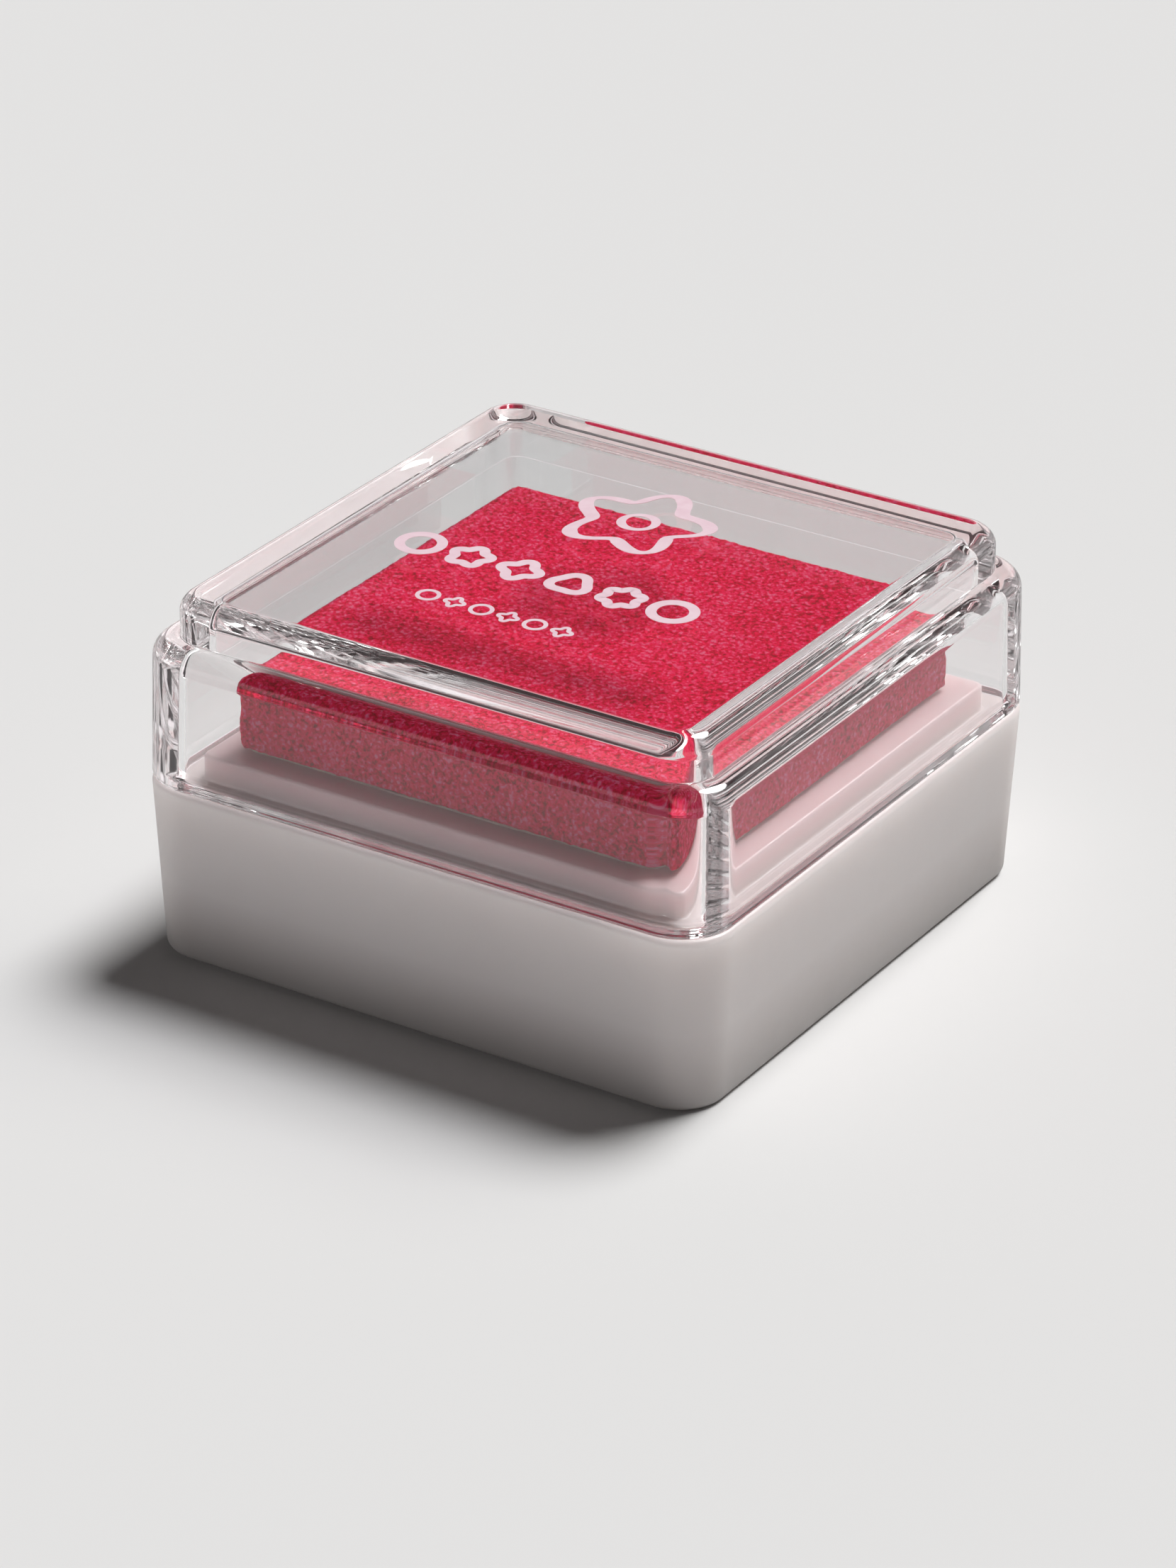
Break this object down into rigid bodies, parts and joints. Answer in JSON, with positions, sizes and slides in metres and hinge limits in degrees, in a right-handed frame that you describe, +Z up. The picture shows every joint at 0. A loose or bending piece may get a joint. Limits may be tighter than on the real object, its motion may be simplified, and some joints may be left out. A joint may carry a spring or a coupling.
{
  "type": "ink pad",
  "caption": "Mini square ink pad: inked foam on a hollow white base, under a clear stepped lid that lifts off and nests in another pad's base.",
  "frame": {"origin": "middle of the base's foot, on the surface that the pad stands on", "axes": "+Z up, the way the lid lifts; X and Y square to the sides, with the lid's print reading along +X and its top towards +Y"},
  "size_m": [0.034, 0.034, 0.0198],
  "materials": {
    "white_plastic": "satin",
    "glue": "satin",
    "inked_foam": "matte",
    "clear_plastic": "polished",
    "print_ink": "satin"
  },
  "bodies": {
    "base": {"base_shell": "white_plastic", "glue_film": "glue", "foam_pad": "inked_foam"},
    "lid": {"lid": "clear_plastic"}
  },
  "joints": [
    {"name": "lid_lift", "type": "slide", "parent": "base", "child": "lid", "axis": [0, 0, 1], "range_m": [0, 0.03]}
  ]
}
